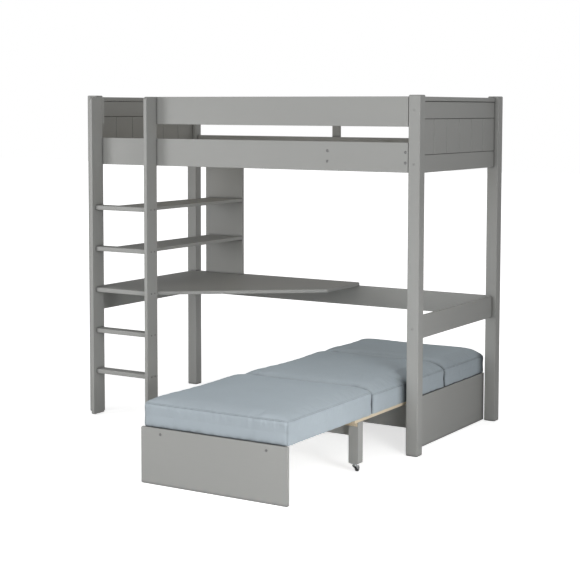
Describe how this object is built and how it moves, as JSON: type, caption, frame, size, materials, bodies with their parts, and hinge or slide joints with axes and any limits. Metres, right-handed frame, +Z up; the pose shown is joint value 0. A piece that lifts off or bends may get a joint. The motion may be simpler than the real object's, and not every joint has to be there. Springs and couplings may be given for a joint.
{
  "type": "loft bed",
  "caption": "Loft bed with guard rails, ladder, slanted corner desk, two shelves and a pull-out chair bed with folding pads.",
  "frame": {"origin": "on the floor, under the middle of the whole footprint", "axes": "+X along the bunk towards the chair bed, +Y from the ladder side to the rear, +Z up"},
  "size_m": [2.09, 2.1208, 1.801],
  "materials": {
    "paint": "painted grey, satin",
    "pine": "planed pine, unfinished",
    "pad_cloth": "woven blue-grey cover",
    "steel": "plated bolt head",
    "zinc": "zinc plated",
    "wheel": "matte dark grey"
  },
  "bodies": {
    "bed_frame": {"post_front_left": "paint", "post_front_right": "paint", "post_rear_left": "paint", "post_rear_right": "paint", "side_rail_front": "paint", "side_rail_rear": "paint", "guard_rail_front": "paint", "guard_rail_stub": "paint", "guard_rail_rear": "paint", "guard_support_rear": "paint", "end_cap_left": "paint", "end_board_upper_left": "paint", "end_panel_left": "paint", "end_board_lower_left": "paint", "cross_rail_left": "paint", "end_cap_right": "paint", "end_board_upper_right": "paint", "end_panel_right": "paint", "end_board_lower_right": "paint", "cross_rail_right": "paint", "cross_rail_rear": "paint", "ladder_stile_left": "paint", "ladder_stile_right": "paint", "ladder_rung_1": "paint", "ladder_rung_2": "paint", "ladder_rung_3": "paint", "ladder_rung_4": "paint", "ladder_rung_5": "paint", "desk_top": "paint", "shelf_lower": "paint", "shelf_upper": "paint", "shelf_back_board": "paint", "chair_side_left": "paint", "chair_side_right": "paint", "chair_back_panel": "paint", "chair_front_rail": "paint", "slat_ledger_front": "pine", "slat_ledger_rear": "pine", "bed_slats": "pine", "chair_base_slats": "pine", "ladder_bolt_left": "steel", "ladder_bolt_right": "steel"},
    "mid_frame": {"mid_leg_left": "paint", "mid_leg_right": "paint", "mid_cross_rail": "paint", "mid_slats": "pine", "caster_plate_left": "zinc", "caster_plate_right": "zinc"},
    "front_frame": {"footboard": "paint", "front_slats": "pine", "footboard_bolt_left": "steel", "footboard_bolt_right": "steel"},
    "middle_pad": {"pad_middle": "pad_cloth"},
    "front_pad": {"pad_front": "pad_cloth"},
    "rear_pad": {"pad_rear": "pad_cloth"},
    "caster_left": {"caster_fork_left": "zinc"},
    "wheel_left": {"caster_wheel_left": "wheel"},
    "caster_right": {"caster_fork_right": "zinc"},
    "wheel_right": {"caster_wheel_right": "wheel"}
  },
  "joints": [
    {"name": "mid_frame_slide", "type": "slide", "parent": "bed_frame", "child": "mid_frame", "axis": [0, 1, 0], "range_m": [0, 0.533]},
    {"name": "front_frame_slide", "type": "slide", "parent": "mid_frame", "child": "front_frame", "axis": [0, 1, 0], "range_m": [0, 0.608]},
    {"name": "pad_slide", "type": "slide", "parent": "bed_frame", "child": "middle_pad", "axis": [0, 1, 0], "range_m": [0, 0.341]},
    {"name": "front_pad_fold", "type": "hinge", "parent": "middle_pad", "child": "front_pad", "pos_m": [0.569, -0.2746, 0.4112], "axis": [-1, 0, 0], "range_deg": [0, 180]},
    {"name": "rear_pad_fold", "type": "hinge", "parent": "middle_pad", "child": "rear_pad", "pos_m": [0.569, 0.5304, 0.4112], "axis": [1, 0, 0], "range_deg": [0, 90]},
    {"name": "caster_swivel_left", "type": "hinge", "parent": "mid_frame", "child": "caster_left", "pos_m": [0.2085, -0.3766, 0.04], "axis": [0, 0, 1], "continuous": true},
    {"name": "caster_roll_left", "type": "hinge", "parent": "caster_left", "child": "wheel_left", "pos_m": [0.2085, -0.3536, 0.015], "axis": [1, 0, 0], "continuous": true},
    {"name": "caster_swivel_right", "type": "hinge", "parent": "mid_frame", "child": "caster_right", "pos_m": [0.9215, -0.3766, 0.04], "axis": [0, 0, 1], "continuous": true},
    {"name": "caster_roll_right", "type": "hinge", "parent": "caster_right", "child": "wheel_right", "pos_m": [0.9215, -0.3536, 0.015], "axis": [1, 0, 0], "continuous": true}
  ],
  "couplings": [
    {"joint": "pad_slide", "follows": "mid_frame_slide", "ratio": 0.6397}
  ]
}
